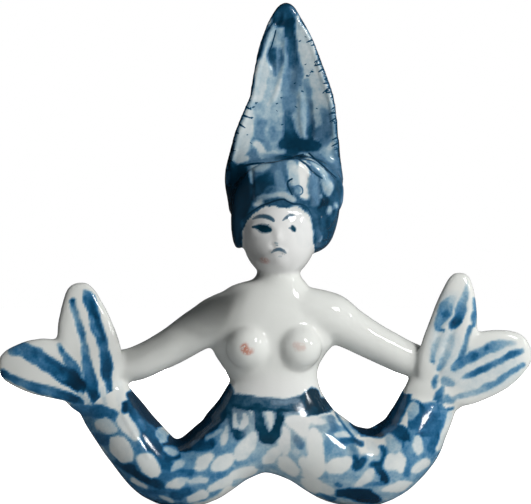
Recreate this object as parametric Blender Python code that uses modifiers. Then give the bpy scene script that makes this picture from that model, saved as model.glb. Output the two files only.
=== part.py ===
# Mermaid figurine of glazed porcelain: a mermaid with two tails who holds up her own fins.
# She is pressed and rolled from clay and fired as one piece, so the whole figure is one solid.
# Metres, +Z up, her front looks along -Y. The origin is on the ground at the middle of the figure.

import math

import bmesh
import bpy
from mathutils import Vector

MM = 0.001

# Tails, from the hips out and up to the fins
HIP_HEIGHT = 22.0 * MM
HIP_THICKNESS = 23.0 * MM
TAIL_SPAN = 50.0 * MM
TAIL_RISE = 12.5 * MM
TAIL_THICKNESS = 20.0 * MM
TAIL_DEPTH = 26.0 * MM
FOOT_GROUND_OFF = 0.8 * MM

# Fins, two lobes on each tail
FIN_LENGTH = 33.0 * MM
FIN_WIDTH = 18.4 * MM
FIN_THICKNESS = 7.0 * MM
FIN_FORWARD = 2.0 * MM
FIN_SUNK = 0.14

# Trunk and arms
WAIST_HEIGHT = 38.5 * MM
WAIST_WIDTH = 26.4 * MM
TRUNK_LENGTH = 31.5 * MM
CHEST_WIDTH = 39.0 * MM
TRUNK_DEPTH = 19.0 * MM
NECK_WIDTH = 12.6 * MM
BUST_DIAMETER = 13.8 * MM
BUST_SPACING = 15.0 * MM
ARM_THICKNESS = 11.0 * MM

# Head and hood
HEAD_WIDTH = 22.2 * MM
HEAD_HEIGHT = 26.0 * MM
HEAD_DEPTH = 23.0 * MM
HOOD_WIDTH = 35.0 * MM
HOOD_DEPTH = 24.0 * MM
HOOD_HEIGHT = 78.0 * MM
HOOD_WALL = 5.6 * MM
BAND_HEIGHT = 12.6 * MM
BAND_THICKNESS = 5.4 * MM

# Her trunk leans a little to one side, as the hand-pressed piece does.
LEAN_WAIST = 4.0 * MM
LEAN_NECK = 5.4 * MM
LEAN_HOOD = 8.2 * MM

# Fineness of the rolls and of the fused clay
SECTION_POINTS = 28
RINGS = 44
VOXEL = 0.62 * MM
SMOOTHING_PASSES = 14
MOST_TRIANGLES = 11600

PORCELAIN = (0.80, 0.81, 0.79, 1.0)
GLAZE_ROUGHNESS = 0.12

BACK = Vector((0.0, 1.0, 0.0))


def clear_scene():
    for obj in list(bpy.data.objects):
        bpy.data.objects.remove(obj, do_unlink=True)


def eased(values, share):
    """The smooth curve through a list of numbers or vectors, at a share of its length."""
    last = len(values) - 1
    place = min(max(share, 0.0), 1.0) * last
    i = min(int(place), last - 1)
    f = place - i
    before, start, end, after = (values[min(max(k, 0), last)] for k in range(i - 1, i + 3))
    slope_in = (end - before) * 0.5
    slope_out = (after - start) * 0.5
    rest = end - start
    return start + slope_in * f + (rest * 3 - slope_in * 2 - slope_out) * f**2 + (
        slope_in + slope_out - rest * 2
    ) * f**3


def signed_power(value, power):
    return math.copysign(abs(value) ** power, value)


def roll(
    clay, centres, half_widths, half_depths, cups=(0.0, 0.0), tip=0.12, fullness=2.0, rings=RINGS
):
    """Adds a roll of clay to the bmesh clay: a ball drawn out along a path, with a section that may
    be flat, and cupped towards the front. Fullness 2 is an ellipse, and more squares it off."""
    made = bmesh.ops.create_uvsphere(
        clay, u_segments=SECTION_POINTS, v_segments=rings, radius=1.0
    )
    for vert in made["verts"]:
        across = Vector((vert.co.x, vert.co.y, 0.0))
        share = 0.5 - math.asin(max(-1.0, min(1.0, vert.co.z))) / math.pi
        step = 0.5 / rings
        along = (eased(centres, share + step) - eased(centres, share - step)).normalized()
        depth_axis = (BACK - along * along.y).normalized()
        width_axis = along.cross(depth_axis)
        near_end = max(0.0, 1.0 - min(share, 1.0 - share) / tip)
        cap = math.sqrt(max(0.0, 1.0 - near_end**2))
        u = v = 0.0
        if across.length > 1e-6:
            across.normalize()
            u = signed_power(across.x, 2.0 / fullness)
            v = signed_power(across.y, 2.0 / fullness)
        vert.co = (
            eased(centres, share)
            + width_axis * (u * cap * eased(half_widths, share))
            + depth_axis * (v * cap * eased(half_depths, share))
            - BACK * (u * u * cap * eased(cups, share))
        )


def ball(clay, centre, radii):
    made = bmesh.ops.create_uvsphere(
        clay, u_segments=SECTION_POINTS, v_segments=RINGS // 2, radius=1.0
    )
    for vert in made["verts"]:
        vert.co = centre + Vector(v * r for v, r in zip(vert.co, radii))


# Places that more than one piece of clay shares
HIPS = Vector((LEAN_WAIST * 0.36, 0.0, HIP_HEIGHT))
WAIST = Vector((LEAN_WAIST, 0.0, WAIST_HEIGHT))
NECK = Vector((LEAN_NECK, 0.0, WAIST_HEIGHT + TRUNK_LENGTH))
HEAD = NECK + Vector((0.2 * MM, -1.0 * MM, HEAD_HEIGHT * 0.45))
LEFT, RIGHT = -1, 1

# The bends of each tail from the hips up into the fin: (share of span, share of rise). The last
# but one is the fin root.
TAIL_BENDS = {
    LEFT: (
        (0.20, -0.26), (0.42, -0.86), (0.62, -0.84), (0.78, -0.20), (0.875, 0.30),
        (0.95, 0.72), (1.0, 1.08), (1.03, 1.9),
    ),
    RIGHT: (
        (0.24, -0.19), (0.45, -0.70), (0.67, -0.74), (0.842, -0.24), (0.912, 0.22),
        (0.965, 0.66), (1.0, 1.08), (1.03, 1.9),
    ),
}

ARM_SAG = {LEFT: 3.0 * MM, RIGHT: 1.0 * MM}

# Each fin is two petals: (direction in degrees, share of length, share of width, sideways bow)
PETALS = {
    LEFT: ((100.4, 0.99, 1.06, 0.6 * MM), (167.6, 0.932, 0.98, -3.2 * MM)),
    RIGHT: ((76.6, 1.10, 0.92, -1.6 * MM), (23.6, 0.97, 1.10, 0.9 * MM)),
}
UPRIGHT_OUTLINE = (0.80, 0.90, 0.98, 0.95, 0.83, 0.74, 0.71)
SIDE_OUTLINE = (0.64, 0.80, 0.93, 0.98, 0.95, 0.90, 0.88)


def on_trunk(share, aside, forward):
    """A point that is a share of the way from the waist to the neck."""
    return WAIST.lerp(NECK, share) + Vector((aside, -forward, 0.0))


def tail_bend(side, out, up):
    return HIPS + Vector((side * out * TAIL_SPAN, 0.0, up * TAIL_RISE))


def fin_root(side):
    return tail_bend(side, *TAIL_BENDS[side][-2]) - BACK * FIN_FORWARD


def hand(side):
    """Where the hand meets the back of the fin."""
    aside_and_up = Vector((side * 0.02 * FIN_LENGTH, 0.0, 0.20 * FIN_LENGTH))
    return fin_root(side) + aside_and_up + BACK * FIN_THICKNESS * 0.6


def tails(clay):
    """Both tails are one long roll, bent up at each end."""
    half_depths = [TAIL_DEPTH / 2 * k for k in (0.98, 1.0, 1.0, 0.90, 0.72, 0.52, 0.38, 0.26)]
    left, right = ([tail_bend(side, *bend) for bend in TAIL_BENDS[side]] for side in (LEFT, RIGHT))
    left_widths = [TAIL_THICKNESS / 2 * k for k in (1.12, 1.06, 0.99, 0.94, 0.91, 0.86, 0.78, 0.60)]
    right_widths = [TAIL_THICKNESS / 2 * k for k in (1.24, 1.21, 1.14, 1.01, 0.93, 0.88, 0.80, 0.60)]
    roll(
        clay,
        left[::-1] + [HIPS] + right,
        left_widths[::-1] + [HIP_THICKNESS / 2] + right_widths,
        half_depths[::-1] + [TAIL_DEPTH * 0.46] + half_depths,
        tip=0.05,
        rings=2 * RINGS,
    )


def fins(clay):
    for side in (LEFT, RIGHT):
        root = fin_root(side)
        knuckle = root + Vector((side * 0.05 * FIN_WIDTH, 0.0, -0.07 * FIN_WIDTH))
        ball(clay, knuckle, (FIN_WIDTH * 0.52, FIN_THICKNESS * 0.54, FIN_WIDTH * 0.36))
        for petal, outline in zip(PETALS[side], (UPRIGHT_OUTLINE, SIDE_OUTLINE)):
            angle, length, width, bow = petal
            turn = math.radians(angle)
            reach = Vector((math.cos(turn), 0.0, math.sin(turn))) * FIN_LENGTH * length
            aside = Vector((-math.sin(turn), 0.0, math.cos(turn))) * bow
            stations = range(len(outline))
            shares = [k / (len(outline) - 1) for k in stations]
            start = root - reach * FIN_SUNK
            roll(
                clay,
                [
                    start + reach * (1 + FIN_SUNK) * s + aside * math.sin(math.pi * s)
                    for s in shares
                ],
                [FIN_WIDTH / 2 * width * k for k in outline],
                [FIN_THICKNESS / 2] * len(outline),
                cups=(0.4 * MM, 1.2 * MM, 1.0 * MM, 0.0),
                tip=0.38,
                fullness=2.6,
            )


def trunk(clay):
    """Hips, waist, chest, shoulders and neck, as one upright roll."""
    chest = CHEST_WIDTH / 2
    waist = WAIST_WIDTH / 2
    neck = NECK_WIDTH / 2
    depth = TRUNK_DEPTH / 2
    shape = (
        # share of the trunk's length, half width, half depth, how far to one side
        (-0.50, 1.62 * waist, 1.20 * depth, 0.2 * MM),
        (-0.36, 1.53 * waist, 1.20 * depth, 0.2 * MM),
        (-0.18, 1.21 * waist, 1.06 * depth, 0.1 * MM),
        (0.00, 1.00 * waist, 0.96 * depth, 0.0),
        (0.14, 0.76 * chest, 0.98 * depth, -0.6 * MM),
        (0.30, 0.92 * chest, 1.02 * depth, -1.1 * MM),
        (0.48, 1.00 * chest, 1.00 * depth, -1.1 * MM),
        (0.64, 0.97 * chest, 0.92 * depth, -0.8 * MM),
        (0.78, 0.80 * chest, 0.80 * depth, -0.4 * MM),
        (0.90, 0.49 * chest, 0.70 * depth, 0.0),
        (0.98, 1.07 * neck, 1.04 * neck, 0.0),
        (1.06, neck, neck, 0.0),
        (1.18, neck, neck, 0.0),
    )
    roll(
        clay,
        [on_trunk(share, aside, 0.0) for share, _, _, aside in shape],
        [row[1] for row in shape],
        [row[2] for row in shape],
        tip=0.05,
    )
    for side in (LEFT, RIGHT):
        aside = side * BUST_SPACING / 2 - 0.5 * MM
        ball(clay, on_trunk(0.31, aside, TRUNK_DEPTH * 0.32), [BUST_DIAMETER / 2] * 3)


def arms(clay):
    """Both arms are one long roll as well, from hand to hand through the shoulders."""
    half = ARM_THICKNESS / 2
    middle = on_trunk(0.64, 0.0, 0.0)
    path = [middle]
    half_widths = [1.5 * half]
    for side in (LEFT, RIGHT):
        shoulder = on_trunk(0.60, side * CHEST_WIDTH * 0.37, 0.0)
        reach = hand(side) - shoulder
        arm = [shoulder]
        for share, drop in ((0.22, 0.15), (0.45, 0.85), (0.68, 1.2), (0.86, 0.70), (1.0, 0.0)):
            arm.append(shoulder + reach * share - Vector((0.0, 0.0, drop * ARM_SAG[side])))
        widths = [half * k for k in (1.38, 1.16, 1.02, 0.95, 0.90, 0.86)]
        path = path + arm if side == RIGHT else arm[::-1] + path
        half_widths = half_widths + widths if side == RIGHT else widths[::-1] + half_widths
    roll(clay, path, half_widths, [w * 0.95 for w in half_widths], tip=0.04, rings=2 * RINGS)


def head(clay):
    ball(clay, HEAD, (HEAD_WIDTH / 2, HEAD_DEPTH / 2, HEAD_HEIGHT / 2))
    crown = HEAD + Vector((LEAN_HOOD - HEAD.x, HEAD_DEPTH * 0.08, HEAD_HEIGHT * 0.42))
    ball(clay, crown, (HOOD_WIDTH * 0.42, HEAD_DEPTH / 2, HEAD_HEIGHT * 0.34))
    bridge = HEAD + Vector((-0.4 * MM, -HEAD_DEPTH * 0.475, HEAD_HEIGHT * 0.08))
    nose_tip = HEAD + Vector((-0.5 * MM, -HEAD_DEPTH * 0.483, -HEAD_HEIGHT * 0.08))
    half_widths = (0.9 * MM, 1.2 * MM, 1.7 * MM)
    roll(clay, [bridge, bridge.lerp(nose_tip, 0.5), nose_tip], half_widths, [1.0 * MM] * 3, tip=0.3)


def hood(clay):
    """A slab of clay wrapped round the back of the head and drawn up to a point, cupped in front."""
    base = HEAD.z - HEAD_HEIGHT * 0.30
    wide = HOOD_WIDTH / 2
    deep = HOOD_DEPTH / 2
    wall = HOOD_WALL / 2
    shape = (
        # share of height, half width, half depth, cup, distance back, share of the lean
        (0.025, 0.52 * wide, 0.56 * deep, 0.0, 3.0, 0.60),
        (0.090, 0.80 * wide, 0.88 * deep, 0.0, 3.0, 0.73),
        (0.165, 0.925 * wide, 0.98 * deep, 0.0, 2.9, 0.86),
        (0.240, 0.975 * wide, 1.00 * deep, 0.0, 2.9, 0.86),
        (0.320, 1.02 * wide, 0.86 * deep, 0.4, 3.4, 0.85),
        (0.400, 0.965 * wide, 2.10 * wall, 2.2, 5.0, 0.90),
        (0.480, 0.90 * wide, 1.25 * wall, 4.2, 5.3, 0.99),
        (0.560, 0.82 * wide, wall, 4.8, 5.0, 1.08),
        (0.620, 0.75 * wide, wall, 4.4, 4.9, 1.11),
        (0.700, 0.655 * wide, wall, 3.6, 4.6, 1.05),
        (0.780, 0.56 * wide, 0.97 * wall, 2.7, 4.3, 0.99),
        (0.850, 0.455 * wide, 0.93 * wall, 1.9, 4.1, 0.955),
        (0.915, 0.325 * wide, 0.88 * wall, 1.2, 3.8, 0.925),
        (0.965, 0.20 * wide, 0.80 * wall, 0.7, 3.6, 0.935),
        (1.000, 0.11 * wide, 0.70 * wall, 0.3, 3.4, 0.94),
    )
    roll(
        clay,
        [Vector((LEAN_HOOD * r[5], r[4] * MM, base + r[0] * HOOD_HEIGHT)) for r in shape],
        [r[1] for r in shape],
        [r[2] for r in shape],
        cups=[r[3] * MM for r in shape],
        tip=0.07,
        fullness=2.3,
    )


def band(clay):
    """The rolled front edge of the hood: up one side of the face, across the forehead and down."""
    thick = BAND_THICKNESS / 2
    edge = (
        # aside as a share of the hood's width, height as a share of the head's, half width, forward
        (-0.350, -0.17, 0.12 * BAND_HEIGHT, 2.0),
        (-0.352, 0.05, 0.17 * BAND_HEIGHT, 2.4),
        (-0.335, 0.28, 0.22 * BAND_HEIGHT, 3.2),
        (-0.268, 0.46, 0.36 * BAND_HEIGHT, 5.4),
        (-0.146, 0.58, 0.47 * BAND_HEIGHT, 8.6),
        (0.029, 0.635, 0.45 * BAND_HEIGHT, 9.8),
        (0.183, 0.635, 0.50 * BAND_HEIGHT, 9.0),
        (0.305, 0.57, 0.48 * BAND_HEIGHT, 6.6),
        (0.405, 0.45, 0.32 * BAND_HEIGHT, 3.8),
        (0.430, 0.27, 0.21 * BAND_HEIGHT, 2.8),
        (0.380, 0.13, 0.18 * BAND_HEIGHT, 2.6),
        (0.305, 0.00, 0.12 * BAND_HEIGHT, 2.4),
    )
    roll(
        clay,
        [HEAD + Vector((r[0] * HOOD_WIDTH, -r[3] * MM - HEAD.y, r[1] * HEAD_HEIGHT)) for r in edge],
        [r[2] for r in edge],
        [0.7 * thick, 0.8 * thick] + [thick] * 7 + [1.1 * thick, thick, 0.7 * thick],
        tip=0.08,
        fullness=2.3,
        rings=2 * RINGS,
    )
    fold = (
        # aside as a share of the hood's width, height as a share of the head's, half width, forward
        (0.16, 0.86, 2.0 * MM, 0.0),
        (0.29, 0.78, 2.8 * MM, 3.6),
        (0.45, 0.60, 2.9 * MM, 2.4),
        (0.475, 0.42, 2.7 * MM, 1.2),
        (0.46, 0.26, 2.2 * MM, 0.4),
    )
    roll(
        clay,
        [HEAD + Vector((r[0] * HOOD_WIDTH, -r[3] * MM - HEAD.y, r[1] * HEAD_HEIGHT)) for r in fold],
        [r[2] for r in fold],
        [2.2 * MM] * 5,
        tip=0.2,
    )


def glazed_porcelain():
    material = bpy.data.materials.new("glazed_porcelain")
    material.use_nodes = True
    shader = material.node_tree.nodes["Principled BSDF"]
    shader.inputs["Base Color"].default_value = PORCELAIN
    shader.inputs["Roughness"].default_value = GLAZE_ROUGHNESS
    shader.inputs["Metallic"].default_value = 0.0
    return material


def new_collection(name):
    collection = bpy.data.collections.new(name)
    bpy.context.scene.collection.children.link(collection)
    return collection


def ground_cutter(collection):
    """A block under the ground plane. It grinds the two low bends of the tails flat."""
    block = bmesh.new()
    bmesh.ops.create_cube(block, size=1.0)
    bmesh.ops.scale(block, vec=(4 * TAIL_SPAN, 4 * TAIL_DEPTH, TAIL_RISE), verts=block.verts)
    bmesh.ops.translate(block, vec=(0.0, 0.0, -TAIL_RISE / 2), verts=block.verts)
    mesh = bpy.data.meshes.new("ground_cutter")
    block.to_mesh(mesh)
    block.free()
    cutter = bpy.data.objects.new("ground_cutter", mesh)
    collection.objects.link(cutter)
    cutter.hide_render = True
    cutter.display_type = "WIRE"
    return cutter


def pressed_clay(collection):
    """Every roll, ball and slab of clay in one mesh, still overlapping."""
    clay = bmesh.new()
    for piece in (tails, fins, trunk, arms, head, hood, band):
        piece(clay)
    bmesh.ops.recalc_face_normals(clay, faces=clay.faces)
    mesh = bpy.data.meshes.new("figurine")
    clay.to_mesh(mesh)
    clay.free()
    figurine = bpy.data.objects.new("figurine", mesh)
    collection.objects.link(figurine)
    return figurine


def evaluated_mesh(obj):
    bpy.context.view_layer.update()
    return obj.evaluated_get(bpy.context.evaluated_depsgraph_get()).to_mesh()


def fuse(figurine):
    """Joins the clay into one skin, smooths the seams, and thins the facets to MOST_TRIANGLES."""
    skin = figurine.modifiers.new("one_skin", "REMESH")
    skin.mode = "VOXEL"
    skin.voxel_size = VOXEL
    rubbed = figurine.modifiers.new("rubbed_seams", "SMOOTH")
    rubbed.factor = 0.5
    rubbed.iterations = SMOOTHING_PASSES
    fine = evaluated_mesh(figurine)
    triangles = sum(len(face.vertices) - 2 for face in fine.polygons)
    thinned = figurine.modifiers.new("thinned", "DECIMATE")
    thinned.ratio = min(1.0, MOST_TRIANGLES / triangles)
    thinned.use_collapse_triangulate = True


def stand_on_ground(figurine, cutter):
    """Sets the figure down so that the ground takes a flat off each tail, centred on the origin."""
    corners = [vert.co for vert in evaluated_mesh(figurine).vertices]
    low = Vector(min(c[k] for c in corners) for k in range(3))
    high = Vector(max(c[k] for c in corners) for k in range(3))
    middle = (low + high) / 2
    figurine.location = (-middle.x, -middle.y, -low.z - FOOT_GROUND_OFF)
    ground = figurine.modifiers.new("ground_flat", "BOOLEAN")
    ground.operation = "DIFFERENCE"
    ground.solver = "EXACT"
    ground.object = cutter


def main():
    clear_scene()
    figurine = pressed_clay(new_collection("mermaid_figurine"))
    fuse(figurine)
    stand_on_ground(figurine, ground_cutter(new_collection("cutters")))
    figurine.data.materials.append(glazed_porcelain())
    return figurine


main()
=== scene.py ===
# Mermaid figurine of glazed porcelain: a mermaid with two tails who holds up her own fins.
# Rolls, balls and slabs of clay are pressed together, painted in cobalt, glazed and fired as one piece.
# Metres, +Z up, her front looks along -Y. Tool marks and strokes are in tenths of a millimetre.

import math

import bmesh
import bpy
import numpy as np
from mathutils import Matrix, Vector, noise
from mathutils.bvhtree import BVHTree


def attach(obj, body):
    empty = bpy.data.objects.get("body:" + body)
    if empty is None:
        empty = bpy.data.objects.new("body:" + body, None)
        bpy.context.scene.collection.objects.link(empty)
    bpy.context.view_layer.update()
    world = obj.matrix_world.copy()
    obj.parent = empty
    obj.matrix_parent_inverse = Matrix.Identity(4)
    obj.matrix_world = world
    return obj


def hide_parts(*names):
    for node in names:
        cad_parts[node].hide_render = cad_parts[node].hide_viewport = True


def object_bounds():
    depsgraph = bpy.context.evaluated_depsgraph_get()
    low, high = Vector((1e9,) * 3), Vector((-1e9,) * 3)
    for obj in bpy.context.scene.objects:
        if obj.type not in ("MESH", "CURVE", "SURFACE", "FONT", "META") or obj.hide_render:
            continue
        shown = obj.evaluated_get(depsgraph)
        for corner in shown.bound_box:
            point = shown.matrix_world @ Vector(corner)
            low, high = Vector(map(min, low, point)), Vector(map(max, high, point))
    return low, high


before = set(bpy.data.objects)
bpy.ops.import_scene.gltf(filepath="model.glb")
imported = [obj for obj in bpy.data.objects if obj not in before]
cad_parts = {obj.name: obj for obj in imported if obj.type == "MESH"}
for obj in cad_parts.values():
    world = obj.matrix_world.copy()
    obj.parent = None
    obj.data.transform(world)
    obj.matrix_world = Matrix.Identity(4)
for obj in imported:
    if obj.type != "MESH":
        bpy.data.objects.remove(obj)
cad_low, cad_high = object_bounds()

# Tails
# One long roll of clay from fin to fin. It is bent down and up again on each side of the hips, so
# she stands on its two low bends. Painted as scales: rounded spots of bare glaze left in cobalt.
MM = 0.001
HIP_HEIGHT = 22.0 * MM
HIP_THICKNESS = 23.0 * MM
TAIL_SPAN = 50.0 * MM
TAIL_RISE = 12.5 * MM
TAIL_THICKNESS = 20.0 * MM
TAIL_DEPTH = 26.0 * MM
LEAN_WAIST = 4.0 * MM
HIPS = Vector((LEAN_WAIST * 0.36, 0.0, HIP_HEIGHT))
LEFT, RIGHT = -1, 1
TAIL_BENDS = {
    LEFT: (
        (0.20, -0.26), (0.42, -0.86), (0.62, -0.84), (0.78, -0.20), (0.875, 0.30),
        (0.95, 0.72), (1.0, 1.08), (1.03, 1.9),
    ),
    RIGHT: (
        (0.24, -0.19), (0.45, -0.70), (0.67, -0.74), (0.842, -0.24), (0.912, 0.22),
        (0.965, 0.66), (1.0, 1.08), (1.03, 1.9),
    ),
}
SECTION_POINTS = 36
RINGS = 60
BACK = Vector((0.0, 1.0, 0.0))

clay = bmesh.new()
clay_pieces = []
tooling = []
brushwork = []
fine_lines = []


# A stroke is a run of points along it: aside, height and half width in tenths of a millimetre, and ink
# in percent, from bare glaze to the darkest cobalt. A tool mark has no ink.
def tool(pieces, side, height, *strokes):
    """Marks that stand this many millimetres above the clay of these pieces, or below it."""
    tooling.append((pieces, side, height, strokes))


def brush(pieces, side, softness, *strokes):
    """Broad strokes, with edges this many millimetres soft. Later strokes cover earlier ones."""
    brushwork.append((pieces, side, softness, strokes))


def draw(pieces, *strokes):
    """Thin sharp lines on the front."""
    fine_lines.append((pieces, strokes))


def eased(values, share):
    """The smooth curve through a list of numbers or vectors, at a share of its length."""
    last = len(values) - 1
    place = min(max(share, 0.0), 1.0) * last
    i = min(int(place), last - 1)
    f = place - i
    before, start, end, after = (values[min(max(k, 0), last)] for k in range(i - 1, i + 3))
    slope_in = (end - before) * 0.5
    slope_out = (after - start) * 0.5
    rest = end - start
    return start + slope_in * f + (rest * 3 - slope_in * 2 - slope_out) * f**2 + (
        slope_in + slope_out - rest * 2
    ) * f**3


def signed_power(value, power):
    return math.copysign(abs(value) ** power, value)


def roll(
    piece, centres, half_widths, half_depths, cups=(0.0, 0.0), tip=0.12, fullness=2.0, rings=RINGS
):
    """Presses a roll of clay on: a ball drawn out along a path, round or flat, and cupped in front."""
    made = bmesh.ops.create_uvsphere(clay, u_segments=SECTION_POINTS, v_segments=rings, radius=1.0)
    for vert in made["verts"]:
        across = Vector((vert.co.x, vert.co.y, 0.0))
        share = 0.5 - math.asin(max(-1.0, min(1.0, vert.co.z))) / math.pi
        step = 0.5 / rings
        along = (eased(centres, share + step) - eased(centres, share - step)).normalized()
        depth_axis = (BACK - along * along.y).normalized()
        width_axis = along.cross(depth_axis)
        near_end = max(0.0, 1.0 - min(share, 1.0 - share) / tip)
        cap = math.sqrt(max(0.0, 1.0 - near_end**2))
        u = v = 0.0
        if across.length > 1e-6:
            across.normalize()
            u = signed_power(across.x, 2.0 / fullness)
            v = signed_power(across.y, 2.0 / fullness)
        vert.co = (
            eased(centres, share)
            + width_axis * (u * cap * eased(half_widths, share))
            + depth_axis * (v * cap * eased(half_depths, share))
            - BACK * (u * u * cap * eased(cups, share))
        )
    clay_pieces.append((piece, len(clay.faces)))


def ball(piece, centre, radii):
    made = bmesh.ops.create_uvsphere(
        clay, u_segments=SECTION_POINTS, v_segments=RINGS // 2, radius=1.0
    )
    for vert in made["verts"]:
        vert.co = centre + Vector(v * r for v, r in zip(vert.co, radii))
    clay_pieces.append((piece, len(clay.faces)))


def tail_bend(side, out, up):
    return HIPS + Vector((side * out * TAIL_SPAN, 0.0, up * TAIL_RISE))


def tapered(*strokes):
    """The same strokes, each drawn out to thin ends."""
    drawn = []
    for rows in strokes:
        ends = []
        for end, beside in ((rows[0], rows[1]), (rows[-1], rows[-2])):
            outward = Vector(end[:2]) - Vector(beside[:2])
            tip = Vector(end[:2]) + outward.normalized() * end[2] * 0.8
            ends.append((tip.x, tip.y, end[2] * 0.35, end[3]))
        drawn.append((ends[0], *rows, ends[1]))
    return drawn


left_bends, right_bends = (
    [tail_bend(side, *bend) for bend in TAIL_BENDS[side]] for side in (LEFT, RIGHT)
)
tail_depths = [TAIL_DEPTH / 2 * k for k in (0.98, 1.0, 1.0, 0.90, 0.72, 0.52, 0.38, 0.26)]
left_widths = [TAIL_THICKNESS / 2 * k for k in (1.12, 1.06, 0.99, 0.94, 0.91, 0.86, 0.78, 0.60)]
right_widths = [TAIL_THICKNESS / 2 * k for k in (1.24, 1.21, 1.14, 1.01, 0.93, 0.88, 0.80, 0.60)]
roll(
    "tails",
    left_bends[::-1] + [HIPS] + right_bends,
    left_widths[::-1] + [HIP_THICKNESS / 2] + right_widths,
    tail_depths[::-1] + [TAIL_DEPTH * 0.46] + tail_depths,
    tip=0.05,
    rings=2 * RINGS,
)

tool("tails", "front", 0.34,
    ((-428, 284, 8), (-400, 236, 9), (-372, 188, 9), (-344, 148, 8)),
)
tool("tails", "front", 0.85,
    ((274, 170, 32), (292, 154, 36)),
)

WAIST_DOWN = ("tails", "trunk")
brush(WAIST_DOWN, "round", 1.2,
    # washes under the scales
    ((-600, 260, 60, 50), (-500, 220, 80, 55), (-420, 150, 80, 62), (-320, 90, 90, 66),
     (-200, 100, 90, 52)), ((-100, 240, 70, 62), (-80, 140, 80, 36), (-20, 140, 80, 28)),
    ((20, 240, 70, 40), (40, 140, 90, 34), (140, 120, 100, 26), (180, 220, 50, 38)),
    ((220, 200, 40, 50), (240, 80, 80, 34), (360, 80, 90, 34), (460, 180, 70, 55), (500, 260, 50, 62)),
)
brush(WAIST_DOWN, "round", 0.8,
    # the near black inner edges of both tails
    ((-290, 190, 17, 97), (-250, 188, 26, 100), (-215, 200, 30, 100), (-186, 224, 29, 99),
     (-156, 258, 29, 97), (-128, 296, 29, 97), (-114, 340, 21, 93)),
    ((260, 242, 10, 96), (290, 222, 14, 100), (330, 219, 15, 100), (360, 234, 20, 98), (386, 270, 22, 91),
     (410, 310, 20, 90), (430, 340, 10, 86)),
    ((360, 220, 12, 90), (400, 223, 20, 90), (418, 200, 15, 93), (410, 179, 8, 85)),
    # left tail
    ((-404, 306, 10, 86), (-380, 280, 26, 86), (-358, 246, 30, 82), (-342, 208, 24, 88),
     (-330, 178, 22, 92), (-306, 160, 16, 92)),
    ((-404, 330, 12, 97), (-374, 306, 20, 99), (-344, 276, 22, 99), (-320, 244, 16, 97)),
    ((-417, 302, 10, 97), (-416, 286, 10, 97)), ((-372, 254, 7, 66), (-360, 232, 6, 68)),
    ((-640, 280, 16, 62), (-590, 240, 18, 60), (-550, 210, 12, 60)),
    ((-620, 286, 11, 70), (-560, 282, 15, 72), (-490, 282, 16, 80), (-446, 270, 13, 74)),
    ((-520, 206, 12, 72), (-480, 196, 15, 76), (-450, 210, 10, 72), (-442, 250, 7, 62)),
    ((-438, 128, 12, 86), (-400, 112, 17, 94), (-350, 86, 17, 95), (-310, 68, 15, 90), (-276, 56, 8, 80)),
    ((-390, 180, 8, 56), (-382, 140, 7, 58), (-375, 116, 7, 66)),
    ((-310, 152, 10, 84), (-296, 124, 19, 88), (-264, 108, 11, 82), (-220, 106, 10, 84),
     (-210, 124, 8, 72)), ((-290, 142, 12, 92), (-256, 150, 9, 92)),
    ((-300, 96, 12, 72), (-240, 98, 6, 70)), ((-356, 50, 7, 76), (-320, 45, 7, 78), (-280, 50, 9, 70)),
    ((-268, 30, 17, 84), (-228, 48, 14, 84)), ((-262, 12, 11, 66), (-246, 4, 8, 66)),
    ((-520, 136, 14, 60), (-450, 60, 12, 66), (-370, 20, 10, 66), (-280, -4, 7, 70)),
    ((-206, 180, 15, 92), (-162, 188, 16, 90)),
    ((-170, 108, 8, 60), (-140, 94, 10, 62), (-100, 110, 8, 58)),
    ((-162, 130, 6, 58), (-148, 160, 9, 56), (-120, 176, 10, 48)),
    ((-96, 140, 10, 50), (-76, 130, 8, 46), (-40, 136, 7, 40)),
    # belly
    ((94, 202, 12, 66), (104, 186, 13, 66)),
    # right tail
    ((192, 256, 12, 62), (204, 232, 12, 70), (190, 200, 9, 46)),
    ((186, 200, 7, 50), (196, 170, 8, 46), (240, 166, 14, 36)),
    ((228, 195, 7, 80), (260, 196, 9, 90), (286, 187, 8, 88)),
    ((266, 148, 8, 86), (272, 126, 16, 90), (290, 140, 9, 90)),
    ((342, 178, 7, 86), (354, 156, 11, 92), (342, 126, 10, 92), (318, 130, 9, 88)),
    ((330, 116, 9, 86), (346, 98, 13, 96), (354, 82, 15, 97)), ((300, 66, 6, 60), (346, 70, 7, 66)),
    ((240, 94, 14, 44), (270, 86, 11, 42)), ((214, 70, 7, 66), (220, 64, 6, 70)),
    ((426, 304, 10, 92), (454, 304, 10, 92), (478, 276, 12, 86), (514, 270, 10, 82)),
    ((438, 246, 17, 84), (470, 254, 24, 84), (506, 240, 19, 80)),
    ((460, 216, 11, 86), (506, 216, 14, 82), (496, 172, 17, 78)),
    ((420, 186, 11, 58), (419, 140, 11, 60), (422, 96, 10, 62)), ((440, 154, 6, 58), (490, 152, 7, 60)),
    ((510, 134, 8, 46), (490, 96, 8, 42)), ((160, 34, 7, 56), (204, 19, 9, 72)),
    ((222, 39, 13, 94), (254, 39, 18, 97), (296, 32, 23, 98), (330, 19, 15, 97)),
)
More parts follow.
